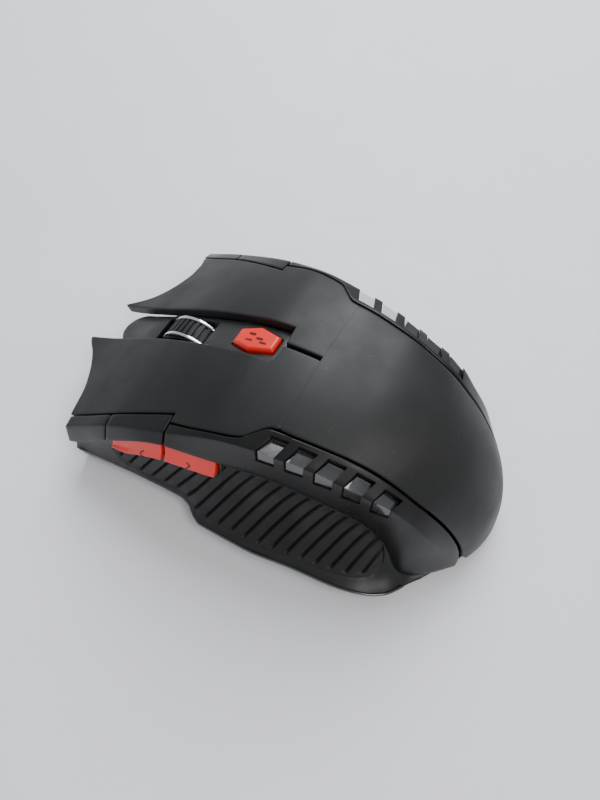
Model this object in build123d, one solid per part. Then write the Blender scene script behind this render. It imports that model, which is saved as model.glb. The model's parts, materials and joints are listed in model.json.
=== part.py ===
"""Wireless optical mouse with a thumb wing, in separate pieces.

Millimetres. +X points forward to the nose, +Y to the thumb side, +Z up.
The origin is the middle of the footprint, on the surface the feet stand on.
"""
from build123d import *
import math
import os

import numpy as np

os.makedirs("parts", exist_ok=True)

# --- driving dimensions ---------------------------------------------------
LENGTH = 113.0
NOSE = LENGTH / 2
TAIL = -LENGTH / 2
FOOT_TOP = 0.7            # thickness of the slide feet
FLOOR_TOP = 2.5           # inside of the base floor
SKIN = 2.0                # wall of the shells
RIM = 1.6                 # thickness of the skirts under the shell edges
SKIRT = 3.6               # depth of those skirts below the top surface
SEAM_GAP = 0.4            # open joint between the top shell and its panels
LIP_GAP = 0.6             # open joint between the panels' lower lips and the base
MOVE_GAP = 0.35           # open joint beside anything that moves
COVER_LOW = 3.0           # lower edge of the palm cover at the tail
BELOW = -8.0              # a level under everything, where cutting solids end

KEY_HINGE_X = -9.3        # flex line where the keys leave the palm cover
KEY_HINGE_Z = 37.6
DECK_REAR = -0.7
DECK_DROP = 2.2           # deck surface below the key surface
DECK_WALL = 2.8           # depth of the flanges round the deck
GRIP_DEPTH = 1.2
BOSS_TOP, REAR_BOSS_TOP = 5.6, 6.0     # joints of the screw bosses
SCREW_R = 1.25
SLIT_HALF = 0.4           # slit between the two key arms behind the deck
PANEL_FRONT = 42.3
NOTCH_X = 13.0            # where the top shell steps outward
PANEL_WALL = 1.6
INSERT_DROP = 1.95        # vent insert below the panel surface
WINDOW_PITCH = 5.9
WINDOW_FIRST = -10.6      # middle of the first vent window's inner side
WINDOW_LENGTH = 3.9
WINDOW_SLANT = 20.0
WINDOW_COUNT = 5
WINDOW_DROP = 4.2         # how far the windows fold down over the ridge

WHEEL_X, WHEEL_Z = 24.0, 18.4
WHEEL_R = 9.0
TYRE_DEPTH = 2.0
WHEEL_SLOT = (18.6, 34.5)           # rear and front end of the wheel's slot in the deck
AXLE_R = 1.25
DPI_X = 6.0
BUTTON_REAR, BUTTON_FRONT = 1.6, 27.4  # ends of the pair of thumb buttons
BUTTON_TRAVEL = 0.5
BOARD_Z, BOARD_T = 7.0, 1.6
BOARD_TOP = BOARD_Z + BOARD_T
SENSOR_X = 10.0
CELL_R, CELL_LENGTH = 5.2, 43.0
CELL_X, CELL_Y, CELL_Z = -20.5, 5.6, 8.6
SWITCH_X, SWITCH_Y = 29.0, 15.0
RAM_X = SWITCH_X - 4.0
RECEIVER_X, RECEIVER_Y = -8.0, -16.4
POWER_X, POWER_Y = 20.0, -18.0


def curve(points):
    """A monotone cubic through (x, value) points, level past both ends."""
    xs, values = np.array(sorted(points), float).T
    step = np.diff(xs)
    slope = np.diff(values) / step
    product = slope[:-1] * slope[1:]
    total = np.where(product > 0, slope[:-1] + slope[1:], 1.0)
    inner = np.where(product > 0, 2 * product / total, 0.0)
    grade = np.concatenate([[slope[0]], inner, [slope[-1]]])

    def value(x):
        x = np.clip(x, xs[0], xs[-1])
        i = int(np.clip(np.searchsorted(xs, x) - 1, 0, len(step) - 1))
        t = (x - xs[i]) / step[i]
        rise = values[i + 1] - values[i]
        bend = step[i] * (grade[i] * t * (1 - t) ** 2 - grade[i + 1] * t * t * (1 - t))
        return float(values[i] + rise * t * t * (3 - 2 * t) + bend)

    return value


# --- the lines that shape the body, all as functions of x -------------------
SPINE_POINTS = [(-58.5, -9), (-57, -2), (-56.5, 3), (-55.6, 9), (-54, 14), (-50, 20.5),
                (-43, 28), (-34, 34), (-22, 37.8), (-10, 39), (2, 37.9), (14, 33.8),
                (26, 28), (38, 20.8), (48, 14.8), (58, 9.8)]
crown = curve([(-56.5, .002), (-46, .004), (-36, .0085), (-20, .0066), (0, .0053),
               (14, .005), (28, .0042), (58, .004)])
tail_bend = curve([(-56.5, .0265), (-50, .0257), (-40, .0165), (-30, .004), (-22, 0), (0, 0)])
top_half = curve([(-56.5, 7), (-54, 11), (-52, 14), (-49, 17), (-45, 20), (-40, 22),
                  (-20, 26), (14, 30), (42, 34), (58, 34)])
seam_front = curve([(12, 21.9), (20, 23.8), (28.9, 25.8), (42.1, 28.3), (46, 29)])
seam_rear = curve([(-54, 10.4), (-52.3, 12), (-46, 12.9), (-40, 13.9), (-34.7, 14.5),
                   (-29.3, 15), (-23.8, 15.7), (-18.5, 16.4), (-13, 17.1), (-8, 17.6),
                   (-5, 20), (-3.3, 21.6), (0, 22.6), (8, 23.9), (13.2, 24.2)])
ridge_y = curve([(-54, 11.4), (-52.5, 12.9), (-50, 14.4), (-46, 16.2), (-43, 17.2),
                 (-39, 17.9), (-34.2, 19), (-29.7, 19.8), (-23.6, 20.6), (-17.7, 21.4),
                 (-12, 22.3), (-6, 23.1), (-1.3, 23.9), (11.6, 26.3), (28.9, 28.8),
                 (42, 31.3), (46, 32)])
ridge_z = curve([(-54, 3), (-52.5, 4), (-50, 9.5), (-46, 16.5), (-43, 21), (-39, 25.5),
                 (-34.2, 29.9), (-29.7, 31.5), (-23.6, 33.5), (-17.7, 35), (-12, 35.5),
                 (-6, 35.4), (-1.3, 35.1), (11.6, 31.2), (28.9, 22.7), (42, 14.1), (46, 11.6)])
lip_y = curve([(-54, 11.7), (-52, 13.6), (-48, 17.6), (-44, 20.6), (-41, 21.6), (-38, 20.6),
               (-35, 19.8), (-30, 20), (-24, 20.9), (-17, 21.9), (-10, 22.9), (-3, 24.4),
               (3, 26), (12, 28), (28.9, 30.7), (42.3, 32.7), (46, 33)])
lip_z = curve([(-54, 2.8), (-50, 2.9), (-44, 3.4), (-41, 5.6), (-38, 9.8), (-35, 14),
               (-30, 18), (-24, 20.5), (-17, 22.6), (-10, 24), (-3, 25.2), (3, 26),
               (12, 27.2), (28.9, 18.6), (42.3, 8.4), (46, 7.5)])
wing_y = curve([(-56.5, 13), (-52, 14), (-48, 18), (-45, 21.4), (-42.5, 25.3), (-40.8, 27.4),
                (-36.9, 29.8), (-30, 31.6), (-20, 32.6), (-8, 34.1), (3.4, 34.2), (5.8, 33.3),
                (8.5, 31.4), (11.5, 30.6), (23, 31), (35, 32), (42.3, 33), (50, 33.4)])
wing_z = curve([(-52, 2.6), (-45, 2.9), (-40, 4.4), (-34, 5), (20, 5), (32, 5.2), (42.3, 6.2),
                (50, 6.6)])
button_depth = curve([(-1, 5.7), (13, 5.3), (22, 4.3), (27, 2.4), (31, 1.0)])

# x of each key's hollow front edge, as a function of the distance from the middle
edge_left = curve([(5.0, 56.5), (6.2, 55.9), (11, 51), (16.4, 46.9), (22, 44.2), (28.3, 43.0)])
edge_right = curve([(5.0, 56.3), (5.8, 54.6), (7.8, 49.7), (10, 45.6), (12.8, 42.8),
                    (15.7, 41.1), (19.8, 39.9), (24, 40.3), (28.3, 42.0)])
EDGE_YS = [28.0, 25, 22, 19, 16.4, 14, 12.4, 11, 9.6, 8.4, 7.4, 6.6]


def key_gap(x):
    """Half of the gap between the keys, which widens to the tips."""
    return 4.9 + 0.055 * max(x - 34, 0)


def spine_inset(depth):
    """The top profile moved inward by depth, square to itself."""
    top = curve(SPINE_POINTS)
    xs = np.concatenate([np.linspace(-58.4, -54, 12), np.linspace(-53, 58, 56)])
    zs = np.array([top(x) for x in xs])
    slope = np.gradient(zs, xs)
    length = np.hypot(1, slope)
    moved_x = xs + depth * slope / length
    moved_z = zs - depth / length
    keep = np.concatenate([[True], np.diff(np.maximum.accumulate(moved_x)) > 0.05])
    return curve(list(zip(moved_x[keep], moved_z[keep])))


def top_surface(depth):
    """Height of the top shell's surface, moved inward by depth."""
    spine = spine_inset(depth)
    return lambda x, y: spine(x - tail_bend(x) * y * y) - crown(x) * y * y


def loft_sections(stations, outline, ruled=False):
    """A solid through the closed outlines, lists of edges, at the stations."""
    return Solid.make_loft([Wire(outline(x)) for x in stations], ruled)


def polygon_edges(points):
    """The edges of a closed polygon."""
    ring = points + points[:1]
    return [Edge.make_line(a, b) for a, b in zip(ring[:-1], ring[1:])]


TOP_STATIONS = [-56.5, -56, -55, -53.5, -51.5, -49, -46, -42, -36, -28, -18, -6, 6, 16, 26, 36, 46, 58]


def below_top(depth):
    """Everything below the top surface moved inward by depth, a little wider with depth."""
    height = top_surface(depth)

    def outline(x):
        half = top_half(x) + depth
        crest = [(x, y, height(x, y)) for y in np.linspace(-half, half, 9)]
        corners = [crest[-1], (x, half, BELOW - depth), (x, -half, BELOW - depth), crest[0]]
        sides = [Edge.make_line(a, b) for a, b in zip(corners[:-1], corners[1:])]
        return [Edge.make_spline(crest)] + sides

    stations = [x for x in TOP_STATIONS if x > TAIL + depth or depth == 0]
    return loft_sections(stations[:-1] + [stations[-1] + depth], outline)


def prism(points, low=3 * BELOW, high=60.0):
    """An upright block with a plan outline of straight edges."""
    ring = Wire.make_polygon([(x, y, low) for x, y in points], close=True)
    return Solid.extrude(Face(ring), Vector(0, 0, high - low))


def flank(line, start, stop, count, shift=0.0):
    """Points along a seam line on the thumb side, moved outward by shift."""
    return [(x, line(x) + shift) for x in np.linspace(start, stop, count)]


def mirrored(shape):
    return mirror(shape, about=Plane.XZ)


def block(size, centre):
    """A box by its size and centre."""
    return Pos(*centre) * Box(*size)


def disc(radius, height, centre, axis="Z"):
    """A cylinder by its radius, height and centre, along Z, X or Y."""
    turn = {"Z": Rot(0, 0, 0), "X": Rot(0, 90, 0), "Y": Rot(90, 0, 0)}[axis]
    return Pos(*centre) * turn * Cylinder(radius, height)


TOP_IN = below_top(SKIN)
CAP = below_top(0) - below_top(SKIRT)


def top_piece(outline, inner_outline):
    """A piece of the top shell with a skirt round its edge."""
    return (CAP & prism(outline)) - (TOP_IN & prism(inner_outline))


# --- the top shell -----------------------------------------------------------
def key_outline(edge, inset=0.0):
    """Plan of a key on the thumb side, with the given front edge."""
    rear = KEY_HINGE_X + 0.2 + inset
    corner = edge(28.0)
    outer_rear = [(x, y - inset) for x, y in flank(seam_rear, rear, NOTCH_X - 0.4, 12)]
    outer_front = [(x, y - inset) for x, y in flank(seam_front, NOTCH_X - 0.4, corner - 0.5 - inset, 8)]
    front = [(edge(y) - inset, y - 0.5 * inset) for y in EDGE_YS[1:]]
    tip = edge(6.2) - 2.2 * inset
    gap = [(x, key_gap(x) + inset) for x in (tip, 45, 34)]
    gap.append((DECK_REAR - 0.4 - inset, 4.9 + inset))
    slit = [(DECK_REAR - 0.4 - inset, SLIT_HALF + inset), (rear, SLIT_HALF + inset)]
    return outer_rear + outer_front + front + gap + slit


def palm_outline(inset=0.0):
    """Plan of the palm cover, back to the tail."""
    front = KEY_HINGE_X - 0.2 - inset
    side = [(x, y - inset) for x, y in flank(seam_rear, -51.6 + inset, front, 14)]
    tail = [(TAIL - 1 + inset, 2.0), (TAIL - 1 + inset, 10.0), (-53.4 + inset, 10.8 - inset)]
    half = tail + side
    return half + [(x, -y) for x, y in reversed(half)]


def make_palm_cover():
    cover = top_piece(palm_outline(), palm_outline(RIM))
    x, y = CASE_SCREWS[1]
    cover -= block((120, 100, 40), (0, 0, COVER_LOW - 20))
    cover += disc(2.4, 20, (x, y, REAR_BOSS_TOP + 10.2)) & TOP_IN
    return cover - disc(SCREW_R, 8, (x, y, REAR_BOSS_TOP + 3))


def make_key(edge):
    """Thumb-side key, with the ram that reaches its micro switch."""
    key = top_piece(key_outline(edge), key_outline(edge, RIM))
    ram_low = BOARD_TOP + 7.3
    return key + (block((3, 3, 20), (RAM_X, SWITCH_Y, ram_low + 10)) & TOP_IN)


CASE_SCREWS = [(45.7, 0), (-49.1, 0)]


def deck_outline(inset=0.0):
    """Plan of the tongue between the keys, with its rounded nose."""
    half, nose_half, nose_x = 4.5 - inset, 4.9 - inset, 48.4 - inset
    nose = [(nose_x - 5 + 5 * math.sin(a), nose_half * math.cos(a))
            for a in np.linspace(0.0, math.pi / 2, 7)]
    side = [(DECK_REAR + inset, half), (33, half)] + nose
    return side + [(x, -y) for x, y in reversed(side[:-1])]


def hexagon(grow=0.0):
    """Plan of the red button on the deck."""
    points = [(5.4, 2.0), (5.4, -2.0), (0.6, -3.4), (-5.0, -2.0), (-5.0, 2.0), (0.6, 3.4)]
    return [(DPI_X + x * (1 + grow / 5.2), y * (1 + grow / 3.2)) for x, y in points]


def make_deck():
    deck = (below_top(DECK_DROP) & prism(deck_outline())) - below_top(DECK_DROP + DECK_WALL)
    deck -= below_top(DECK_DROP + 1.5) & prism(deck_outline(0.9))
    slot_length, slot_x = WHEEL_SLOT[1] - WHEEL_SLOT[0], sum(WHEEL_SLOT) / 2
    deck -= below_top(DECK_DROP + 1.5) & block((slot_length + 8, 12, 60), (slot_x, 0, 20))
    x, y = CASE_SCREWS[0]
    deck += disc(2.2, 20, (x, y, BOSS_TOP + 10.2)) & below_top(DECK_DROP + 1)
    deck -= disc(SCREW_R, 8, (x, y, BOSS_TOP + 3))
    deck -= block((slot_length, 7.2, 40), (slot_x, 0, 20))
    return deck - prism(hexagon(MOVE_GAP))


RISER_TOP = 23.6


def make_dpi_button():
    cap_low = 32.0
    cap = prism(hexagon(), low=cap_low, high=45.0) & below_top(DECK_DROP - 1.5)
    stem_low = RISER_TOP + 4.1 + BUTTON_TRAVEL + 0.1
    return cap + disc(1.2, cap_low + 1 - stem_low, (DPI_X, 0, (cap_low + 1 + stem_low) / 2))


def make_riser_board():
    """Small board that carries the upper switch, on four legs from the main board."""
    board = block((12.9, 10.4, 1.2), (8.95, 0, RISER_TOP - 0.6))
    leg_height = RISER_TOP - 1.2 - BOARD_TOP
    for x, y in ((5.5, -2.4), (5.5, 2.4), (14.8, -4.4), (14.8, 4.4)):
        board += block((1.0, 1.2, leg_height), (x, y, BOARD_TOP + leg_height / 2))
    return board


# --- side panels -------------------------------------------------------------
def panel_section(x, seam, drop=0.0, wall=PANEL_WALL):
    """Six corners of the panel's bent strip, drop below its outer face."""
    y_seam = seam(x) + SEAM_GAP
    z_seam = TOP_HEIGHT(x, y_seam)
    corners = [(y_seam, z_seam), (ridge_y(x), min(ridge_z(x), z_seam - 0.1)),
               (lip_y(x), min(lip_z(x), ridge_z(x) - 0.9))]
    lean = 0.75
    outer = [(y - lean * drop, z - drop) for y, z in corners]
    inner = [(y - lean * wall, z - wall) for y, z in outer]
    inner[0] = (outer[0][0], outer[0][1] - wall)
    inner[2] = (outer[2][0] - wall, outer[2][1])
    return [(x, y, z) for y, z in outer + inner[::-1]]


TOP_HEIGHT = top_surface(0)
REAR_STATIONS = [-52.2, -50, -47, -43, -38, -32, -25, -18, -12, -8, -5.8, -4.2, -2, 2, 7, 12.6]
FRONT_STATIONS = [NOTCH_X, 18, 24, 30, 36, PANEL_FRONT]


def make_front_panel():
    panel = loft_sections(FRONT_STATIONS, lambda x: polygon_edges(panel_section(x, seam_front)), True)
    return panel - block((0.5, 12, 1.0), (29.2, 30, 22.6))


def window_cut(index, inset=0.0):
    """The slanted block that opens one vent window, its inner side along the seam."""
    x = WINDOW_FIRST - index * WINDOW_PITCH
    reach = ridge_y(x) + 4 - seam_rear(x)
    shift = reach * math.tan(math.radians(WINDOW_SLANT))
    half = WINDOW_LENGTH / 2 - inset
    inner = [(a, seam_rear(a) + 1.4 + inset) for a in (x - half, x + half)]
    outer = [(a + shift, y + reach) for a, y in reversed(inner)]
    return prism(inner + outer, ridge_z(x) - WINDOW_DROP + inset, ridge_z(x) + 10)


def make_side_panel():
    panel = loft_sections(REAR_STATIONS, lambda x: polygon_edges(panel_section(x, seam_rear)), True)
    for index in range(WINDOW_COUNT):
        panel -= window_cut(index)
    return panel


def insert_section(x):
    """Six corners of the strip behind the windows, clear of the panel's back."""
    y_seam = seam_rear(x) + SEAM_GAP
    y_ridge, z_ridge = ridge_y(x), ridge_z(x)
    outer = [(y_seam + 0.1, TOP_HEIGHT(x, y_seam) - INSERT_DROP),
             (y_ridge - 1.5, z_ridge - INSERT_DROP),
             ((y_ridge + lip_y(x)) / 2 - 1.9, (z_ridge + lip_z(x)) / 2 - 0.9)]
    inner = [(outer[0][0], outer[0][1] - 0.9), (outer[1][0] - 0.6, outer[1][1] - 0.9),
             (outer[2][0] - 0.9, outer[2][1])]
    return [(x, y, z) for y, z in outer + inner[::-1]]


def facet_section(x):
    """Section of the faces in the windows, deep at the seam and nearly flush on the ridge."""
    (y_back, z_back), (y_bend, z_bend), _ = [(y, z) for _, y, z in insert_section(x)[:3]]
    y_ridge, z_ridge = ridge_y(x), ridge_z(x)
    share = min(0.95, (WINDOW_DROP + 0.2) / (z_ridge - lip_z(x)))
    z_low = z_ridge + (lip_z(x) - z_ridge) * share
    y_low = y_ridge + (lip_y(x) - y_ridge) * share
    outer = [(y_back, z_back), (y_ridge - 0.3, z_ridge - 0.3), (y_low - 0.3, z_low)]
    inner = [(y_back, z_back - 0.4), (y_bend - 0.3, z_bend - 0.4), (y_low - 2.0, z_low)]
    return [(x, y, z) for y, z in outer + inner[::-1]]


def make_vent_insert():
    """Smoked strip behind the windows, with a raised face in each of them."""
    stations = [-36.5, -32, -26, -20, -14, -7.6]
    strip = loft_sections(stations, lambda x: polygon_edges(insert_section(x)), True)
    faces = loft_sections(stations, lambda x: polygon_edges(facet_section(x)), True)
    for index in range(WINDOW_COUNT):
        strip += faces & window_cut(index, 0.15)
    return strip


# --- base --------------------------------------------------------------------
BASE_STATIONS = [-56, -53, -50, -47, -44, -41.5, -39, -35, -29, -21, -12, -4, 2, 5, 8, 11.5,
                 17, 24, 31, 37, 42.3, 50]


def base_section(x, inset):
    """Half of the base's outline at x: lip, waist, wing edge and sole edge."""
    y_lip = lip_y(x) - LIP_GAP
    z_lip = min(lip_z(x), ridge_z(x) - 0.9) - LIP_GAP
    y_wing, z_wing = max(wing_y(x), y_lip + 0.4), min(wing_z(x), z_lip - 0.2)
    y_waist = y_lip + 0.24 * (y_wing - y_lip)
    z_waist = z_wing + 0.5 * (z_lip - z_wing)
    sole = y_wing - 1.0
    if not inset:
        return [(y_lip, z_lip), (y_waist, z_waist), (y_wing, z_wing), (sole, FOOT_TOP)]
    floor_edge = max(FLOOR_TOP + 0.2, z_wing - 0.8 * inset)
    return [(y_lip - inset, max(z_lip, FLOOR_TOP + 3)), (y_waist - inset, max(z_waist, FLOOR_TOP + 1.5)),
            (y_wing - 1.5 * inset, floor_edge), (y_wing - 1.7 * inset, FLOOR_TOP)]


def base_solid(inset):
    """The base as one closed block, or its hollow when inset is given."""

    def outline(x):
        lip, waist, wing, sole = [(x, y, z) for y, z in base_section(x, inset)]
        flip = [(x, -y, z) for _, y, z in (lip, waist, wing, sole)]
        crest = (x, lip[1], lip[2] + (12 if inset else 0))
        flip_crest = (x, -lip[1], crest[2])
        wall = [Edge.make_spline([lip, waist, wing]), Edge.make_line(wing, sole),
                Edge.make_line(sole, flip[3]), Edge.make_line(flip[3], flip[2]),
                Edge.make_spline([flip[2], flip[1], flip[0]])]
        if not inset:
            return wall + [Edge.make_line(flip[0], lip)]
        return wall + [Edge.make_line(flip[0], flip_crest), Edge.make_line(flip_crest, crest),
                       Edge.make_line(crest, lip)]

    return loft_sections(BASE_STATIONS, outline)


def base_plan(inset=0.0):
    """Plan that rounds the base's tail and hollows its front."""
    tail = [(-55.4 + inset, 3.5 - inset * .5), (-53.9 + inset, 8 - inset * .7),
            (-51.8 + inset, 11.8 - inset), (-48.5 + inset * .6, 16.2 - inset), (-44, 24 - inset), (-40, 45)]
    outline = [(-56.0 + inset, 0.0)] + tail
    for edge, side in ((edge_left, 1), (edge_right, -1)):
        front = [(edge(y) - 2.2 - inset, y) for y in EDGE_YS if y > 9]
        half = [(front[0][0], 45.0)] + front + [(49.4 - inset, 6.5)]
        if side > 0:
            outline += half + [(50.2 - inset, 0.0)]
        else:
            outline += [(x, -y) for x, y in reversed(half)]
    return outline + [(x, -y) for x, y in reversed(tail)]


def button_zone(start, stop):
    """The band of the thumb wall, under the panel's lip, that the buttons need."""

    def outline(x):
        low, high, y = lip_z(x) - button_depth(x) - MOVE_GAP, lip_z(x) + 1.0, lip_y(x)
        return polygon_edges([(x, y - 6, low), (x, y + 6, low), (x, y + 6, high), (x, y - 6, high)])

    return loft_sections(np.linspace(start - MOVE_GAP, stop + MOVE_GAP, 13), outline, True)


def grip_zone():
    """Side view of the grips, as a block through the whole width."""
    upper = [(x, lip_z(x) - 1.2) for x in np.linspace(BUTTON_REAR - 0.9, -36, 10)]
    front = [(28.6, 14.4)] + [(x, lip_z(x) - button_depth(x) - 0.7)
                              for x in np.linspace(BUTTON_FRONT, BUTTON_REAR - 0.7, 12)]
    lower = [(-37.5, 7.5), (-36.5, 6.2), (0, 6.2), (9, 6.6), (13, 7.6), (20, 7.5), (25, 8.6), (27.4, 10.2)]
    ring = Wire.make_polygon([(x, -60, z) for x, z in front + upper + lower], close=True)
    return Solid.extrude(Face(ring), Vector(0, 120, 0))


OUTER_BASE = base_solid(0) & prism(base_plan())


def make_grip():
    """Rubber pad let into the thumb wall."""
    core = base_solid(GRIP_DEPTH)
    pad = (OUTER_BASE & grip_zone()) - core
    return pad & block((120, 60, 80), (0, 30 + 10, 30))


BATTERY_BAY = (47.0, 22.0)          # opening in the floor under the cells
DOOR_T = 1.4
POCKET = (14.6, 6.2, 19.5)          # pocket that stores the receiver
POWER_SLOT = (9.0, 4.4)
LENS_HOLE = (8.0, 6.0)


def pocket_wall():
    """Thin box round the receiver's pocket."""
    centre = (RECEIVER_X, RECEIVER_Y, FLOOR_TOP - 0.5 + POCKET[2] / 2)
    return block((POCKET[0] + 1.6, POCKET[1] + 1.6, POCKET[2]), centre)


def make_base():
    base = OUTER_BASE - (base_solid(SKIN) & prism(base_plan(SKIN)))
    base -= LEFT_GRIP
    base -= RIGHT_GRIP
    base -= button_zone(BUTTON_REAR, BUTTON_FRONT)
    for x, y in CASE_SCREWS:
        height = (BOSS_TOP if x > 0 else REAR_BOSS_TOP) - FOOT_TOP
        base += disc(2.4, height, (x, y, FOOT_TOP + height / 2))
        base -= disc(1.3, 14, (x, y, FOOT_TOP + 6))
        base -= disc(1.9, 3.2, (x, y, FOOT_TOP + 1.0))
    for x, y in BOARD_SCREWS:
        base += disc(2.0, BOARD_Z - 2.0, (x, y, 2.0 + (BOARD_Z - 2.0) / 2))
        base -= disc(0.9, 4.0, (x, y, BOARD_Z - 2))
    for y in (-1, 1):
        base += block((4.0, 1.2, 9.0), (WHEEL_X, y * 9.7, FLOOR_TOP + 4))
    base += pocket_wall()
    base -= block(POCKET, (RECEIVER_X, RECEIVER_Y, POCKET[2] / 2 + 0.4))
    base -= block((BATTERY_BAY[0], BATTERY_BAY[1], 8), (CELL_X, 0, 0))
    base -= block((POWER_SLOT[0], POWER_SLOT[1], 8), (POWER_X, POWER_Y, 0))
    base -= block((LENS_HOLE[0], LENS_HOLE[1], 8), (SENSOR_X, 0, 0))
    for foot in (make_front_foot(), make_rear_foot()):
        base -= foot
    return base


def foot_strip(x, half, bow, width):
    """A bowed pad across the sole."""
    ys = np.linspace(-half, half, 9)
    front = [(x + width / 2 - bow * (y / half) ** 2, y) for y in ys]
    rear = [(px - width, py) for px, py in reversed(front)]
    return prism(front + rear, 0.0, FOOT_TOP)


def make_front_foot():
    return foot_strip(34.5, 17, 2.0, 6.0)


def make_rear_foot():
    return foot_strip(-52.6, 6.5, -2.2, 2.4)


BOARD_SCREWS = [(9, 20.3), (9, -20.3)]


def make_board():
    board = block((30.5, 46, BOARD_T), (20.25, 0, BOARD_Z + BOARD_T / 2))
    board -= block((30, 21.2, 6), (18 + 15, 0, BOARD_Z))
    board -= block((6, 6, 6), (SENSOR_X, 0, BOARD_Z))
    for x, y in BOARD_SCREWS:
        board -= disc(1.1, 6, (x, y, BOARD_Z))
    return board


# --- wheel -------------------------------------------------------------------
def ring(outer, inner, width, y=0.0):
    """A ring round the wheel's axle."""
    return disc(outer, width, (WHEEL_X, y, WHEEL_Z), "Y") - disc(inner, width + 2, (WHEEL_X, y, WHEEL_Z), "Y")


def make_tyre():
    tyre = ring(WHEEL_R, WHEEL_R - TYRE_DEPTH, 4.2)
    for turn in range(30):
        a = math.radians(turn * 12)
        at = (WHEEL_X + WHEEL_R * math.cos(a), 0, WHEEL_Z + WHEEL_R * math.sin(a))
        tyre -= disc(0.35, 5, at, "Y")
    return tyre


def make_rims():
    side = ring(WHEEL_R + 0.1, WHEEL_R - TYRE_DEPTH - 0.4, 0.9, 2.58)
    return Compound([side, mirrored(side)])


def make_hub():
    hub = ring(WHEEL_R - TYRE_DEPTH - 0.05, AXLE_R, 4.2)
    for turn in range(5):
        a = math.radians(turn * 72)
        at = (WHEEL_X + 4.2 * math.cos(a), 0, WHEEL_Z + 4.2 * math.sin(a))
        hub -= disc(1.4, 8, at, "Y")
    return hub


def make_axle():
    return disc(AXLE_R - 0.02, 18.0, (WHEEL_X, 0, WHEEL_Z), "Y")


CRADLE_LOW = 4.6
CRADLE_Y = 7.8
CRADLE_REACH = 7.5


def make_carrier():
    """Cradle on both sides of the wheel, joined below it in front and behind."""
    arm_height = WHEEL_Z + 2.4 - CRADLE_LOW
    arm = block((5, 1.6, arm_height), (WHEEL_X, CRADLE_Y, CRADLE_LOW + arm_height / 2))
    rail = block((2 * CRADLE_REACH + 2.4, 1.6, 2.0), (WHEEL_X, CRADLE_Y, CRADLE_LOW + 1.0))
    cradle = arm + rail + mirrored(arm) + mirrored(rail)
    for side in (-1, 1):
        cradle += block((2.4, 2 * CRADLE_Y + 1.6, 2.0), (WHEEL_X + side * CRADLE_REACH, 0, CRADLE_LOW + 1.0))
    return cradle - disc(AXLE_R + 0.05, 30, (WHEEL_X, 0, WHEEL_Z), "Y")


def make_encoder():
    body = block((7.0, 2.6, 7.0), (WHEEL_X, 5.2, WHEEL_Z - 1.1))
    return body - disc(2.1, 8, (WHEEL_X, 5.2, WHEEL_Z), "Y")


def make_encoder_rotor():
    return disc(2.0, 2.2, (WHEEL_X, 5.2, WHEEL_Z), "Y") - disc(AXLE_R, 8, (WHEEL_X, 5.2, WHEEL_Z), "Y")


def make_wheel_spring():
    """Small coil that lifts the cradle, as its closed sleeve."""
    height = CRADLE_LOW - FLOOR_TOP
    middle = (WHEEL_X + CRADLE_REACH, 0, FLOOR_TOP + height / 2)
    return disc(2.0, height, middle) - disc(1.4, 4, middle)


# --- electronics ---------------------------------------------------------------
def make_key_switch():
    size = (12.8, 5.8, 6.4)
    switch = block(size, (SWITCH_X, SWITCH_Y, BOARD_TOP + size[2] / 2))
    return switch - block((2.2, 1.8, 3.6), (RAM_X, SWITCH_Y, BOARD_TOP + size[2]))


def make_plunger():
    return block((1.6, 1.2, 1.2), (RAM_X, SWITCH_Y, BOARD_TOP + 6.4 + 0.15))


def make_tact(centre, axis):
    """A 6 mm tact switch with its round plunger, facing along the axis."""
    turn = Rot(0, 0, 0) if axis == "Z" else Rot(-90, 0, 0)
    return Pos(*centre) * turn * (Pos(0, 0, 1.75) * Box(6, 6, 3.5) + Pos(0, 0, 3.8) * Cylinder(1.6, 0.6))


SIDE_BOARD_Y = 17.0
SIDE_BOARD_T = 1.2
BACK_SWITCH = (6.5, 23.0)
FORWARD_SWITCH = (14.6, 22.2)
STEM_R = 0.75


def make_side_board():
    outline = [(-1, BOARD_TOP), (22, BOARD_TOP), (22.3, 23.5), (12, 26.2), (-1, 26.2)]
    ring = Wire.make_polygon([(x, SIDE_BOARD_Y, z) for x, z in outline], close=True)
    return Solid.extrude(Face(ring), Vector(0, SIDE_BOARD_T, 0))


def side_button(start, stop, switch):
    """A thumb button: a bevelled strip of the wall with a stem to its switch."""

    def outline(x):
        high, depth, y = lip_z(x) - SEAM_GAP - 0.1, button_depth(x), lip_y(x)
        low = lip_z(x) - depth + 0.1
        proud = 1.5 * min(1.0, depth / 4)
        return polygon_edges([(x, y - 2.2, high), (x, y - 0.3, high),
                              (x, y + proud * 0.3, high - 0.5 * depth),
                              (x, y + proud, low + 0.5), (x, y + proud * 0.9, low), (x, y - 2.2, low)])

    cap = loft_sections(np.linspace(start, stop, 7), outline, True)
    x, z = switch
    root = lip_y(x) - 1.4
    face = SIDE_BOARD_Y + SIDE_BOARD_T + 4.1 + BUTTON_TRAVEL + 0.1
    return cap + disc(STEM_R, root - face, (x, (root + face) / 2, z), "Y")


def cell_bodies():
    cells = []
    for side in (-1, 1):
        can = disc(CELL_R, CELL_LENGTH - 1.0, (CELL_X, side * CELL_Y, CELL_Z), "X")
        tip = disc(1.9, 1.0, (CELL_X + side * CELL_LENGTH / 2, side * CELL_Y, CELL_Z), "X")
        cells.append(can + tip)
    return Compound(cells)


def contact_plates():
    plates = []
    for side in (-1, 1):
        x = CELL_X + side * (CELL_LENGTH / 2 + 0.9)
        plates.append(block((0.5, 8.0, 8.0), (x, side * CELL_Y, CELL_Z)))
    return Compound(plates)


def contact_springs():
    coils = []
    for side in (-1, 1):
        x = CELL_X - side * (CELL_LENGTH / 2 + 0.5)
        coils.append(disc(3.2, 1.8, (x, side * CELL_Y, CELL_Z), "X")
                     - disc(2.4, 4, (x, side * CELL_Y, CELL_Z), "X"))
    return Compound(coils)


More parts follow.
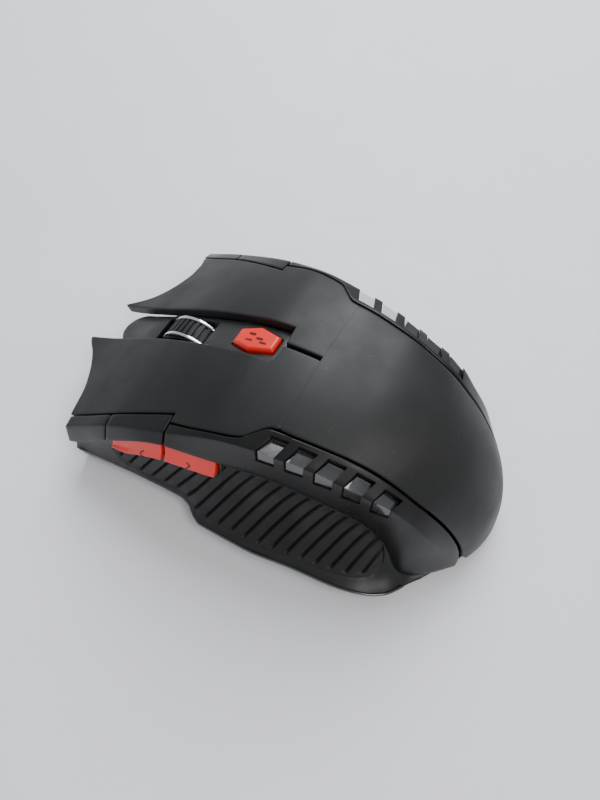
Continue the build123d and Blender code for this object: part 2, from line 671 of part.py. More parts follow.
def make_battery_tray():
    """Open frame that the cells lie in, standing on the floor round the bay."""
    length, width, high = 49.4, 24.6, 9.5
    tray = block((length, width, high), (CELL_X, 0, FLOOR_TOP + high / 2))
    tray -= block((length - 2.4, width - 2.4, high + 2), (CELL_X, 0, FLOOR_TOP + high / 2))
    return tray


def make_battery_door():
    gap = 0.3
    low = FOOT_TOP + 0.1
    door = block((BATTERY_BAY[0] - 2 * gap, BATTERY_BAY[1] - 2 * gap, DOOR_T),
                 (CELL_X, 0, low + DOOR_T / 2))
    finger = disc(4.0, 1.0, (CELL_X + 19, 0, low))
    return door - finger


def make_receiver():
    """Stub receiver, its plug upward in the pocket."""
    low = FOOT_TOP + 0.2
    grip = block((13.8, 5.4, 6.0), (RECEIVER_X, RECEIVER_Y, low + 3.0))
    plug = block((12.0, 4.5, 12.0), (RECEIVER_X, RECEIVER_Y, low + 12.0))
    plug -= block((11.0, 1.6, 11.0), (RECEIVER_X, RECEIVER_Y + 0.9, low + 14.0))
    return grip + plug


def make_power_knob():
    knob = block((4.0, 3.6, 1.4), (POWER_X - 2, POWER_Y, FOOT_TOP + 0.9))
    return knob + block((2.0, 1.6, 2.2), (POWER_X - 2, POWER_Y, FOOT_TOP + 2.4))


def make_power_switch():
    low = 3.9
    frame_height = BOARD_Z - low
    body = block((8.5, 4.4, frame_height), (POWER_X, POWER_Y, low + frame_height / 2))
    return body - block((6.0, 2.2, 1.2), (POWER_X, POWER_Y, low + 0.3))


def make_sensor():
    return block((7.6, 9, 3.0), (SENSOR_X, 0, BOARD_TOP + 1.5))


def make_lens():
    plate = block((9.8, 8.4, 1.6), (SENSOR_X, 0, FLOOR_TOP + 0.8))
    dome = disc(2.6, 2.4, (SENSOR_X, 0, FLOOR_TOP + 0.3))
    tube = disc(2.4, BOARD_TOP - FLOOR_TOP - 1.0, (SENSOR_X, 0, (FLOOR_TOP + BOARD_TOP + 1.0) / 2))
    return plate + dome + tube


def make_led():
    return disc(1.5, 4.0, (SENSOR_X, 7.0, BOARD_TOP + 2.0))


def screws(places, head_r, shank_r, low, length):
    """Pan-head screws with a cross in the head, pointing up."""
    group = []
    for x, y in places:
        screw = disc(head_r, 1.2, (x, y, low + 0.6)) + disc(shank_r, length, (x, y, low + 1.2 + length / 2))
        for size in ((head_r * 1.3, 0.4, 0.8), (0.4, head_r * 1.3, 0.8)):
            screw -= block(size, (x, y, low))
        group.append(screw)
    return Compound(group)


def board_screws():
    group = []
    for x, y in BOARD_SCREWS:
        top = BOARD_TOP
        group.append(disc(2.0, 1.2, (x, y, top + 0.6)) + disc(0.85, 3.4, (x, y, top - 1.7)))
    return Compound(group)


LEFT_GRIP = make_grip()
RIGHT_GRIP = mirrored(LEFT_GRIP)
FRONT_PANEL = make_front_panel()
SIDE_PANEL = make_side_panel()
VENT_INSERT = make_vent_insert()
KEY_SWITCH = make_key_switch()
PLUNGER = make_plunger()

PARTS = {
    "palm_cover": make_palm_cover(),
    "left_key": make_key(edge_left),
    "right_key": mirrored(make_key(edge_right)),
    "centre_deck": make_deck(),
    "dpi_button": make_dpi_button(),
    "left_front_panel": FRONT_PANEL,
    "right_front_panel": mirrored(FRONT_PANEL),
    "left_side_panel": SIDE_PANEL,
    "right_side_panel": mirrored(SIDE_PANEL),
    "left_vent_insert": VENT_INSERT,
    "right_vent_insert": mirrored(VENT_INSERT),
    "base_shell": make_base(),
    "thumb_grip": LEFT_GRIP,
    "right_grip": RIGHT_GRIP,
    "forward_button": side_button(13.4, BUTTON_FRONT, FORWARD_SWITCH),
    "back_button": side_button(BUTTON_REAR, 12.9, BACK_SWITCH),
    "front_foot": make_front_foot(),
    "rear_foot": make_rear_foot(),
    "wheel_hub": make_hub(),
    "wheel_tyre": make_tyre(),
    "wheel_rims": make_rims(),
    "wheel_axle": make_axle(),
    "wheel_carrier": make_carrier(),
    "wheel_spring": make_wheel_spring(),
    "scroll_encoder": make_encoder(),
    "encoder_rotor": make_encoder_rotor(),
    "main_board": make_board(),
    "side_board": make_side_board(),
    "left_key_switch": KEY_SWITCH,
    "right_key_switch": mirrored(KEY_SWITCH),
    "left_plunger": PLUNGER,
    "right_plunger": mirrored(PLUNGER),
    "riser_board": make_riser_board(),
    "dpi_switch": make_tact((DPI_X, 0, RISER_TOP), "Z"),
    "forward_switch": make_tact((FORWARD_SWITCH[0], SIDE_BOARD_Y + SIDE_BOARD_T, FORWARD_SWITCH[1]), "Y"),
    "back_switch": make_tact((BACK_SWITCH[0], SIDE_BOARD_Y + SIDE_BOARD_T, BACK_SWITCH[1]), "Y"),
    "optical_sensor": make_sensor(),
    "sensor_lens": make_lens(),
    "sensor_led": make_led(),
    "battery_cells": cell_bodies(),
    "contact_plates": contact_plates(),
    "contact_springs": contact_springs(),
    "battery_tray": make_battery_tray(),
    "battery_door": make_battery_door(),
    "usb_receiver": make_receiver(),
    "power_knob": make_power_knob(),
    "power_switch": make_power_switch(),
    "case_screws": screws(CASE_SCREWS, 1.8, SCREW_R - 0.02, FOOT_TOP + 1.2, 6.0),
    "board_screws": board_screws(),
}

for name, shape in PARTS.items():
    export_step(shape, f"parts/{name}.step")
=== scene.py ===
# %% [markdown]
# # A wireless mouse with a thumb wing
# The object is a right-handed cordless mouse: a soft-touch black shell, two long
# keys with hollowed front edges, a scroll wheel between chromed rims, red buttons,
# glossy vents behind slanted windows and ribbed rubber grips. The CAD model is
# loaded first as a fixed frame; every piece below is modelled in that frame, and
# all but the two key skins then ride on one of its bodies.

import math

import bmesh
import bpy
import numpy as np
from mathutils import Matrix, Vector
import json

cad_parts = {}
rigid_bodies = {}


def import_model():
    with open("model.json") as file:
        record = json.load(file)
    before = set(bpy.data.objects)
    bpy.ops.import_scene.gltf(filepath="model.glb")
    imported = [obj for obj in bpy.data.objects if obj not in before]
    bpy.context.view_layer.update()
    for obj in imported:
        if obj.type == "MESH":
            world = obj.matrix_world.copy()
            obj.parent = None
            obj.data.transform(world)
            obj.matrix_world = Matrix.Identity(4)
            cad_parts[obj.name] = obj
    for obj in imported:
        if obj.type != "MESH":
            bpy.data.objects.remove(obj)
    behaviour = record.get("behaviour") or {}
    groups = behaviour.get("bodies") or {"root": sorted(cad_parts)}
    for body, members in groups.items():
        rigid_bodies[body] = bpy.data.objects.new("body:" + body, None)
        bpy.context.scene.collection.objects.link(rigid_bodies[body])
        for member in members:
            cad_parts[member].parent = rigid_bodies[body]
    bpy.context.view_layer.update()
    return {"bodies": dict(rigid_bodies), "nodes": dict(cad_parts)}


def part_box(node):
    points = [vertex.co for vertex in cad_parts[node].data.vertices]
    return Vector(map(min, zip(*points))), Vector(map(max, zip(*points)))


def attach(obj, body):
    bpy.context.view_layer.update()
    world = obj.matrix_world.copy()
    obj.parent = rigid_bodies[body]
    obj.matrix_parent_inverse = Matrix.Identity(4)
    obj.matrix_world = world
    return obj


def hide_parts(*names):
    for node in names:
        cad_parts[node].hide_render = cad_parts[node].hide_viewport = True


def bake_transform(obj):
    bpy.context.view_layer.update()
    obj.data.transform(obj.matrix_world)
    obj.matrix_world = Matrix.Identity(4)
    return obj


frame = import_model()
print("bodies:", ", ".join(frame["bodies"]))
print("nodes:", len(frame["nodes"]))

# %% [markdown]
# ## Lines before surfaces
# A moulded shell like this is drawn by its designer as a few long lines: the spine
# over the back, the seams, the ridge and the lip. Each line here is a smooth curve
# through a handful of points in millimetres. A monotone cubic was chosen because it
# never overshoots between its points, so a flat stretch stays flat.

# %% Smooth curves through a few points
MM = 0.001


def curve(points):
    """A monotone cubic through (x, value) points, level past both ends."""
    xs, values = np.array(sorted(points), float).T
    step = np.diff(xs)
    slope = np.diff(values) / step
    product = slope[:-1] * slope[1:]
    total = np.where(product > 0, slope[:-1] + slope[1:], 1.0)
    inner = np.where(product > 0, 2 * product / total, 0.0)
    grade = np.concatenate([[slope[0]], inner, [slope[-1]]])

    def value(x):
        x = np.clip(np.asarray(x, float), xs[0], xs[-1])
        i = np.clip(np.searchsorted(xs, x) - 1, 0, len(step) - 1)
        t = (x - xs[i]) / step[i]
        rise = values[i + 1] - values[i]
        bend = step[i] * (grade[i] * t * (1 - t) ** 2 - grade[i + 1] * t * t * (1 - t))
        return values[i] + rise * t * t * (3 - 2 * t) + bend

    return value


# %% The lines of the body
spine = curve([(-58.5, -9), (-57, -2), (-56.5, 3), (-55.6, 9), (-54, 14), (-50, 20.5), (-43, 28),
               (-34, 34), (-22, 37.8), (-10, 39), (2, 37.9), (14, 33.8), (26, 28), (38, 20.8),
               (48, 14.8), (58, 9.8)])
crown = curve([(-56.5, .002), (-46, .004), (-36, .0085), (-20, .0066), (0, .0053),
               (14, .005), (28, .0042), (58, .004)])
tail_bend = curve([(-56.5, .0265), (-50, .0257), (-40, .0165), (-30, .004), (-22, 0), (0, 0)])
seam_front = curve([(12, 21.9), (20, 23.8), (28.9, 25.8), (42.1, 28.3), (46, 29)])
seam_rear = curve([(-54, 10.4), (-52.3, 12), (-46, 12.9), (-40, 13.9), (-34.7, 14.5), (-29.3, 15),
                   (-23.8, 15.7), (-18.5, 16.4), (-13, 17.1), (-8, 17.6), (-5, 20), (-3.3, 21.6),
                   (0, 22.6), (8, 23.9), (13.2, 24.2)])
ridge_y = curve([(-54, 11.4), (-52.5, 12.9), (-50, 14.4), (-46, 16.2), (-43, 17.2), (-39, 17.9),
                 (-34.2, 19), (-29.7, 19.8), (-23.6, 20.6), (-17.7, 21.4), (-12, 22.3), (-6, 23.1),
                 (-1.3, 23.9), (11.6, 26.3), (28.9, 28.8), (42, 31.3), (46, 32)])
ridge_z = curve([(-54, 3), (-52.5, 4), (-50, 9.5), (-46, 16.5), (-43, 21), (-39, 25.5),
                 (-34.2, 29.9), (-29.7, 31.5), (-23.6, 33.5), (-17.7, 35), (-12, 35.5),
                 (-6, 35.4), (-1.3, 35.1), (11.6, 31.2), (28.9, 22.7), (42, 14.1), (46, 11.6)])
lip_y = curve([(-54, 11.7), (-52, 13.6), (-48, 17.6), (-44, 20.6), (-41, 21.6), (-38, 20.6),
               (-35, 19.8), (-30, 20), (-24, 20.9), (-17, 21.9), (-10, 22.9), (-3, 24.4), (3, 26),
               (12, 28), (28.9, 30.7), (42.3, 32.7), (46, 33)])
lip_z = curve([(-54, 2.8), (-50, 2.9), (-44, 3.4), (-41, 5.6), (-38, 9.8), (-35, 14), (-30, 18),
               (-24, 20.5), (-17, 22.6), (-10, 24), (-3, 25.2), (3, 26), (12, 27.2), (28.9, 18.6),
               (42.3, 8.4), (46, 7.5)])
wing_y = curve([(-56.5, 13), (-52, 14), (-48, 18), (-45, 21.4), (-42.5, 25.3), (-40.8, 27.4),
                (-36.9, 29.8), (-30, 31.6), (-20, 32.6), (-8, 34.1), (3.4, 34.2), (5.8, 33.3),
                (8.5, 31.4), (11.5, 30.6), (23, 31), (35, 32), (42.3, 33), (50, 33.4)])
wing_z = curve([(-52, 2.6), (-45, 2.9), (-40, 4.4), (-34, 5), (20, 5), (32, 5.2), (42.3, 6.2), (50, 6.6)])
button_depth = curve([(-1, 5.7), (13, 5.3), (22, 4.3), (27, 2.4), (31, 1.0)])
edge_left = curve([(5.0, 56.5), (6.2, 55.9), (11, 51), (16.4, 46.9), (22, 44.2), (28.3, 43.0)])
edge_right = curve([(5.0, 56.3), (5.8, 54.6), (7.8, 49.7), (10, 45.6), (12.8, 42.8),
                    (15.7, 41.1), (19.8, 39.9), (24, 40.3), (28.3, 42.0)])
HINGE_X, SLIT_END, NOTCH_X, SEAM_GAP = -9.5, -1.1, 12.6, 0.4


def top(x, y):
    """Height of the shell over a point of the plan."""
    return spine(x - tail_bend(x) * y * y) - crown(x) * y * y


print("highest point of the spine: %.1f mm" % max(spine(np.linspace(-30, 10, 81))))

# %% [markdown]
# ## A shell from a grid
# Every moulding of the body is a bent sheet with a rounded edge. It could be made by
# Solidify and Bevel, but a bevel needs clean corners, and here two skins have to meet
# with no groove at the flex line of the keys. So one helper makes the closed shell
# itself: the outer sheet, three rings that roll the edge over, and the inner sheet.
# Each of the four sides has its own edge radius.

# %% Helpers that turn points into closed meshes


def unit(v):
    """Vectors scaled to length one."""
    return v / np.maximum(np.linalg.norm(v, axis=-1, keepdims=True), 1e-9)


def finish_mesh(name, vertices, faces, sharp=35.0):
    """An object with smooth shading that breaks at sharp edges; vertices in mm."""
    mesh = bpy.data.meshes.new(name)
    mesh.from_pydata([tuple(v * MM) for v in np.asarray(vertices)], [], faces)
    mesh.validate()
    mesh.shade_smooth()
    mesh.set_sharp_from_angle(angle=math.radians(sharp))
    piece = bpy.data.objects.new(name, mesh)
    bpy.context.scene.collection.objects.link(piece)
    return piece


def sheet_normals(grid):
    """Outward normals of a grid of points, from its rows and columns."""
    return unit(np.cross(np.gradient(grid, axis=0), np.gradient(grid, axis=1)))


def perimeter(rows, columns):
    """The grid places round its edge, and the side each belongs to."""
    loop = [((0, j), 0) for j in range(columns - 1)] + [((i, columns - 1), 1) for i in range(rows - 1)]
    loop += [((rows - 1, j), 2) for j in range(columns - 1, 0, -1)]
    return loop + [((i, 0), 3) for i in range(rows - 1, 0, -1)]


def shell(name, grid, wall, radii, normals=None, sharp=35.0):
    """A closed bent sheet. radii are of its first row, last column, last row and first column."""
    grid = np.asarray(grid, float)
    rows, columns = grid.shape[:2]
    normals = sheet_normals(grid) if normals is None else normals
    loop = perimeter(rows, columns)
    spots = [place for place, _ in loop]
    points = np.array([grid[p] for p in spots])
    ups = np.array([normals[p] for p in spots])
    along = np.roll(points, -1, axis=0) - points
    outs = unit(np.cross(ups, along))
    outs = unit(outs + np.roll(outs, 1, axis=0))
    side_radius = np.array([radii[side] for _, side in loop])
    radius = np.minimum(side_radius, np.roll(side_radius, 1))[:, None]
    rings = [points + outs * radius * math.sin(a) - ups * radius * (1 - math.cos(a))
             for a in np.radians((30, 60, 90))]
    rings.append(points + outs * radius - ups * wall)
    inner = grid - normals * wall
    vertices = np.concatenate([grid.reshape(-1, 3)] + rings + [inner.reshape(-1, 3)])
    index = np.arange(rows * columns).reshape(rows, columns)
    far = index + rows * columns + 4 * len(loop)
    faces = []
    for i in range(rows - 1):
        for j in range(columns - 1):
            faces.append((index[i, j], index[i + 1, j], index[i + 1, j + 1], index[i, j + 1]))
            faces.append((far[i, j + 1], far[i + 1, j + 1], far[i + 1, j], far[i, j]))
    bands = [[index[p] for p in spots]]
    first = rows * columns
    bands += [list(range(first + k * len(loop), first + (k + 1) * len(loop))) for k in range(4)]
    bands.append([far[p] for p in spots])
    for upper, lower in zip(bands[:-1], bands[1:]):
        for k in range(len(loop)):
            n = (k + 1) % len(loop)
            faces.append((upper[k], upper[n], lower[n], lower[k]))
    return finish_mesh(name, vertices, [tuple(int(v) for v in f) for f in faces], sharp)


def loft(name, rings, closed=True, sharp=35.0):
    """A solid through closed rings of points, capped at both ends unless it closes on itself."""
    rings = np.asarray(rings, float)
    count, size = rings.shape[:2]
    faces = []
    for i in range(count - 1 if closed else count):
        a, b = i * size, (i + 1) % count * size
        faces += [(a + j, a + (j + 1) % size, b + (j + 1) % size, b + j) for j in range(size)]
    if closed:
        faces += [tuple(range(size))[::-1], tuple(range((count - 1) * size, count * size))]
    piece = finish_mesh(name, rings.reshape(-1, 3), faces, sharp)
    outward(piece)
    return piece


def outward(piece):
    """Turns a closed mesh's faces to point outwards."""
    bm = bmesh.new()
    bm.from_mesh(piece.data)
    bmesh.ops.recalc_face_normals(bm, faces=bm.faces)
    bm.to_mesh(piece.data)
    bm.free()


def mirrored(piece, name):
    """A copy on the other side of the middle plane, with its faces turned back outwards."""
    mesh = piece.data.copy()
    mesh.name = name
    bm = bmesh.new()
    bm.from_mesh(mesh)
    for vertex in bm.verts:
        vertex.co.y = -vertex.co.y
    bmesh.ops.reverse_faces(bm, faces=bm.faces)
    bm.to_mesh(mesh)
    bm.free()
    copy = bpy.data.objects.new(name, mesh)
    bpy.context.scene.collection.objects.link(copy)
    return copy


def settle(piece):
    """The piece with its modifiers worked into a plain mesh."""
    bpy.context.view_layer.update()
    graph = bpy.context.evaluated_depsgraph_get()
    mesh = bpy.data.meshes.new_from_object(piece.evaluated_get(graph), depsgraph=graph)
    piece.modifiers.clear()
    piece.data = mesh
    return piece


def rounded(piece, width, angle=30.0, segments=3):
    """Rolls the sharp edges of a piece over."""
    bevel = piece.modifiers.new("edge", "BEVEL")
    bevel.width = width * MM
    bevel.segments = segments
    bevel.limit_method = "ANGLE"
    bevel.angle_limit = math.radians(angle)
    bevel.harden_normals = False
    settle(piece)
    piece.data.shade_smooth()
    piece.data.set_sharp_from_angle(angle=math.radians(35))
    return piece


def cad_copy(node, name, width=0.0, sharp=28.0, segments=2):
    """A merged copy of a CAD node, smooth over its curves, with its edges rolled over when a width is given.
    """
    mesh = frame["nodes"][node].data.copy()
    mesh.name = name
    bm = bmesh.new()
    bm.from_mesh(mesh)
    bmesh.ops.remove_doubles(bm, verts=bm.verts, dist=2e-6)
    bmesh.ops.dissolve_degenerate(bm, edges=bm.edges, dist=1e-6)
    bmesh.ops.dissolve_limit(bm, angle_limit=math.radians(0.5), verts=bm.verts, edges=bm.edges)
    bm.to_mesh(mesh)
    bm.free()
    mesh.shade_smooth()
    mesh.set_sharp_from_angle(angle=math.radians(sharp))
    piece = bpy.data.objects.new(name, mesh)
    bpy.context.scene.collection.objects.link(piece)
    return rounded(piece, width, 40.0, segments) if width else piece


print("helpers ready")

# %% [markdown]
# ## Arithmetic on sockets
# Node trees are easier to read as formulas. A small class wraps a socket and turns
# plus, minus, times and divide into Math nodes, and one maker adds any other node.
# The same two serve the materials and the Geometry Nodes below.

# %% A socket that takes part in arithmetic


class Wire:
    """A socket in a formula."""

    def __init__(self, bench, socket):
        self.bench, self.socket = bench, socket

    def math(self, operation, a, b=0.0):
        return self.bench.node("ShaderNodeMath", {"operation": operation}, {0: a, 1: b})

    def __add__(self, other):
        return self.math("ADD", self, other)

    def __radd__(self, other):
        return self.math("ADD", other, self)

    def __sub__(self, other):
        return self.math("SUBTRACT", self, other)

    def __rsub__(self, other):
        return self.math("SUBTRACT", other, self)

    def __mul__(self, other):
        return self.math("MULTIPLY", self, other)

    def __rmul__(self, other):
        return self.math("MULTIPLY", other, self)

    def __truediv__(self, other):
        return self.math("DIVIDE", self, other)

    def above(self, limit):
        return self.math("GREATER_THAN", self, limit)

    def size(self):
        return self.math("ABSOLUTE", self)


class Bench:
    """Adds nodes to one tree."""

    def __init__(self, tree):
        self.tree = tree

    def node(self, kind, settings=None, inputs=None, output=0):
        """A node with its settings made first, then its inputs; returns the asked output."""
        made = self.tree.nodes.new(kind)
        for key, value in (settings or {}).items():
            if key == "stops":
                ramp = made.color_ramp.elements
                while len(ramp) < len(value):
                    ramp.new(0.5)
                for element, (place, colour) in zip(ramp, value):
                    element.position, element.color = place, colour
            else:
                setattr(made, key, value)
        for key, value in (inputs or {}).items():
            if isinstance(value, Wire):
                self.tree.links.new(value.socket, made.inputs[key])
            else:
                made.inputs[key].default_value = value
        return Wire(self, made.outputs[output])

    def join(self, *wires):
        """One geometry from several."""
        made = self.tree.nodes.new("GeometryNodeJoinGeometry")
        for wire in wires:
            self.tree.links.new(wire.socket, made.inputs[0])
        return Wire(self, made.outputs[0])


# %% A material with one shader, ready for formulas


class Finish(Bench):
    """A material, its object coordinates and its principled shader."""

    def __init__(self, name, **constants):
        self.material = bpy.data.materials.new(name)
        self.material.use_nodes = True
        super().__init__(self.material.node_tree)
        self.shader = next(n for n in self.tree.nodes if n.type == "BSDF_PRINCIPLED")
        for label, value in constants.items():
            self.shader.inputs[label.replace("_", " ")].default_value = value
        self.place = self.node("ShaderNodeTexCoord", output="Object")

    def noise(self, grain, detail=3.0, place=None, roughness=0.5):
        """Noise whose features are about grain millimetres across."""
        return self.node("ShaderNodeTexNoise", inputs={
            "Vector": place or self.place, "Scale": 1000.0 / grain, "Detail": detail, "Roughness": roughness})

    def part(self, axis):
        """One coordinate, in millimetres."""
        return self.node("ShaderNodeSeparateXYZ", inputs={0: self.place}, output=axis) * 1000.0

    def mix(self, factor, a, b):
        return self.node("ShaderNodeMix", {"data_type": "RGBA"}, {0: factor, 6: a, 7: b}, output=2)

    def ramp(self, value, *stops):
        return self.node("ShaderNodeValToRGB", {"stops": stops}, {0: value})

    def limits(self, value, low, high, to_low, to_high):
        return self.node("ShaderNodeMapRange", inputs={0: value, 1: low, 2: high,
                                                       3: to_low, 4: to_high})

    def feed(self, **links):
        for label, wire in links.items():
            self.tree.links.new(wire.socket, self.shader.inputs[label.replace("_", " ")])
        return self

    def bump(self, height, depth, strength=1.0):
        """Relief of the given depth in millimetres."""
        return self.node("ShaderNodeBump", inputs={"Strength": strength, "Distance": depth * MM,
                                                   "Height": height})


def grey(level, alpha=1.0):
    return (level, level, level * 1.03, alpha)


print("material bench ready")

# %% [markdown]
# ## Moulded plastics
# Moulded plastic is never one flat colour. A fine spark-eroded grain breaks up the
# gloss, the tone drifts a little over a hand's width, and handled places shine. One
# recipe with different numbers gives the soft-touch shell, the satin panels and the
# grey base, so that they stay relatives.

# %% The plastics


def moulded(name, dark, light, rough, grain, depth, spread=0.06, **constants):
    """A moulded plastic between two tones, with a grain of that size and depth in millimetres."""
    finish = Finish(name, **constants)
    drift = finish.noise(26.0, 4.0)
    fine = finish.noise(grain, 2.0)
    speck = finish.noise(0.9, 1.0).above(0.735)
    tone = finish.mix(finish.limits(drift, 0.3, 0.7, 0.0, 1.0), dark, light)
    dusty = finish.mix(speck * 0.05, tone, grey(0.20))
    handled = finish.limits(finish.noise(11.0, 3.0), 0.35, 0.65, rough - spread, rough + spread)
    finish.feed(Base_Color=dusty, Roughness=handled + (fine - 0.5) * 0.12,
                Normal=finish.bump(fine, depth))
    return finish.material


soft_touch = moulded("soft_touch", grey(0.0075), grey(0.0110), 0.47, 0.34, 0.006, Specular_IOR_Level=0.34)
panel_satin = moulded("panel_satin", grey(0.0060), grey(0.0100), 0.33, 0.30, 0.004, Specular_IOR_Level=0.28)
base_satin = moulded("base_satin", grey(0.0090), grey(0.0145), 0.40, 0.32, 0.005, Specular_IOR_Level=0.36)
deck_grain = moulded("deck_grain", grey(0.0150), grey(0.0220), 0.42, 0.40, 0.008)
inner_plastic = moulded("inner_plastic", grey(0.0100), grey(0.0160), 0.55, 0.50, 0.008)
pale_plastic = moulded("pale_plastic", grey(0.11), grey(0.16), 0.45, 0.40, 0.006)
glide = moulded("glide", grey(0.05), grey(0.08), 0.30, 0.60, 0.004)
accent = moulded("accent_red", (0.70, 0.014, 0.007, 1), (0.80, 0.024, 0.012, 1), 0.36, 0.36, 0.005,
                 Coat_Weight=0.25, Coat_Roughness=0.25)
ink = moulded("ink", (0.05, 0.006, 0.005, 1), (0.08, 0.010, 0.008, 1), 0.5, 0.3, 0.003)
print("plastics:", soft_touch.name, panel_satin.name, base_satin.name, deck_grain.name, accent.name)

# %% [markdown]
# ## The other finishes
# The vents are polished and smoked, so they need a clear coat and faint flow lines.
# Rubber scatters light and has a coarser grain. Plated rims are metal with fine
# turning marks. The boards carry copper tracks under green lacquer, drawn by a brick
# pattern, and the cells wear a printed jacket.

# %% Gloss, rubber and metal


def smoked():
    finish = Finish("smoked_gloss", Metallic=0.6, Coat_Weight=1.0, Coat_Roughness=0.04,
                    Specular_IOR_Level=0.6)
    flow = finish.node("ShaderNodeTexWave", {"wave_type": "BANDS", "bands_direction": "X"},
                       {"Vector": finish.place, "Scale": 700.0, "Distortion": 1.5, "Detail": 2.0}, output=1)
    smear = finish.noise(3.0, 3.0)
    finish.feed(Base_Color=finish.mix(flow * 0.12, grey(0.05), grey(0.14)),
                Roughness=finish.limits(smear, 0.3, 0.7, 0.10, 0.20), Normal=finish.bump(smear, 0.01))
    return finish.material


def rubber(name, dark, light, rough):
    finish = Finish(name, Specular_IOR_Level=0.35)
    grain = finish.noise(0.22, 2.0)
    wear = finish.noise(7.0, 5.0, roughness=0.6)
    finish.feed(Base_Color=finish.mix(finish.limits(wear, 0.35, 0.7, 0.0, 1.0), dark, light),
                Roughness=finish.limits(wear, 0.3, 0.7, rough + 0.08, rough - 0.08),
                Normal=finish.bump(grain, 0.02))
    return finish.material


def metal(name, colour, rough, grain, depth):
    finish = Finish(name, Metallic=1.0)
    marks = finish.noise(grain, 4.0)
    patch = finish.noise(5.0, 3.0)
    darker = tuple(c * 0.82 for c in colour[:3]) + (1,)
    finish.feed(Base_Color=finish.mix(finish.limits(patch, 0.35, 0.65, 0.0, 1.0), darker, colour),
                Roughness=finish.limits(marks, 0.3, 0.7, rough * 0.7, rough * 1.4),
                Normal=finish.bump(marks, depth))
    return finish.material


smoked_gloss = smoked()
grip_rubber = rubber("grip_rubber", grey(0.008), grey(0.015), 0.52)
tyre_rubber = rubber("tyre_rubber", grey(0.008), grey(0.014), 0.60)
plated = metal("plated_rim", (0.86, 0.87, 0.90, 1), 0.12, 0.4, 0.001)
steel = metal("drawn_steel", (0.55, 0.56, 0.58, 1), 0.32, 0.3, 0.004)
print("gloss, rubber and metal ready")

# %% Boards, cells, lamp and lens


def lacquered_board():
    finish = Finish("lacquered_board", Coat_Weight=0.5, Coat_Roughness=0.2)
    tracks = finish.node("ShaderNodeTexBrick", {"offset": 0.5}, {
        "Vector": finish.place, "Color1": grey(1.0), "Color2": grey(1.0), "Mortar": grey(0.0),
        "Scale": 420.0, "Mortar Size": 0.03}, output=1)
    tone = finish.mix(finish.noise(6.0), (0.010, 0.085, 0.035, 1), (0.020, 0.125, 0.050, 1))
    finish.feed(Base_Color=finish.mix(tracks * 0.6, tone, (0.10, 0.22, 0.06, 1)),
                Roughness=finish.limits(finish.noise(2.0), 0.3, 0.7, 0.30, 0.45),
                Normal=finish.bump(tracks, 0.03))
    return finish.material


def cell_jacket():
    finish = Finish("cell_jacket", Coat_Weight=0.6, Coat_Roughness=0.12)
    band = finish.limits(finish.part(0), -31.0, -30.6, 0.0, 1.0)
    tone = finish.mix(finish.noise(4.0), grey(0.020), grey(0.034))
    finish.feed(Base_Color=finish.mix(band, (0.55, 0.30, 0.10, 1), tone),
                Roughness=finish.limits(finish.noise(1.5), 0.3, 0.7, 0.22, 0.36),
                Normal=finish.bump(finish.noise(0.8), 0.01))
    return finish.material


def clear(name, colour, weight):
    finish = Finish(name, Transmission_Weight=weight, IOR=1.49)
    finish.feed(Base_Color=finish.mix(finish.noise(3.0), colour, tuple(c * 0.9 for c in colour[:3]) + (1,)),
                Roughness=finish.limits(finish.noise(0.8), 0.3, 0.7, 0.02, 0.09),
                Normal=finish.bump(finish.noise(1.2), 0.004))
    return finish.material


board_green = lacquered_board()
jacket = cell_jacket()
lens_clear = clear("lens_clear", (0.90, 0.95, 0.97, 1), 0.9)
lamp_red = clear("lamp_red", (0.80, 0.03, 0.02, 1), 0.6)
print("boards, cells, lamp and lens ready")


# %% Helpers that finish a piece


def dress(piece, material):
    """Gives the whole piece one material."""
    piece.data.materials.clear()
    piece.data.materials.append(material)
    return piece


def seat(piece, material, nodes, body):
    """Dresses a piece, makes it ride on a body and stand for its CAD nodes."""
    dress(piece, material)
    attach(piece, body)
    if nodes:
        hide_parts(*nodes)
    print(piece.name, len(piece.data.polygons), "faces, rides on", body)
    return piece


# %% [markdown]
# ## The top skin
# The palm cover and the two keys are one skin to the eye: the keys flex from the
# palm, so no seam crosses the back. The palm is a grid whose rows follow lines of
# equal spine height, which lets the rows curl round the tail. Each key is a grid from
# the flex line to its hollow front edge.

# %% Points and normals on the top surface
SKIN_WALL = 2.2         # thickness of the palm cover and the keys
FLEX_ROLL = 0.02        # edge radius where the palm and the keys meet


def skin_points(x, y):
    """Points of the top surface and their outward normals."""
    h = 0.05
    z = top(x, y)
    slope_x = (top(x + h, y) - top(x - h, y)) / (2 * h)
    slope_y = (top(x, y + h) - top(x, y - h)) / (2 * h)
    return np.stack([x, y, z], -1), unit(np.stack([-slope_x, -slope_y, np.ones_like(z)], -1))


def palm_plan(radius):
    """Plan places of the palm cover, in rows that curl round the tail."""
    lines = np.concatenate([np.linspace(HINGE_X, -48, 64), np.linspace(-48.5, -56.5, 30)])
    half, x = np.full_like(lines, 16.0), lines.copy()
    for _ in range(30):
        x = lines + tail_bend(x) * half**2
        half = seam_rear(x) - radius
    y = half[:, None] * np.linspace(1, -1, 69)[None, :]
    xs = np.repeat(lines[:, None], y.shape[1], 1)
    for _ in range(30):
        xs = lines[:, None] + tail_bend(xs) * y**2
    return xs, y


edge_roll = 0.35
palm_points, palm_normals = skin_points(*palm_plan(edge_roll))
palm = shell("palm_skin", palm_points, SKIN_WALL, (FLEX_ROLL, edge_roll, edge_roll, edge_roll), palm_normals)
seat(palm, soft_touch, ["palm_cover"], "housing")

# %% The two keys


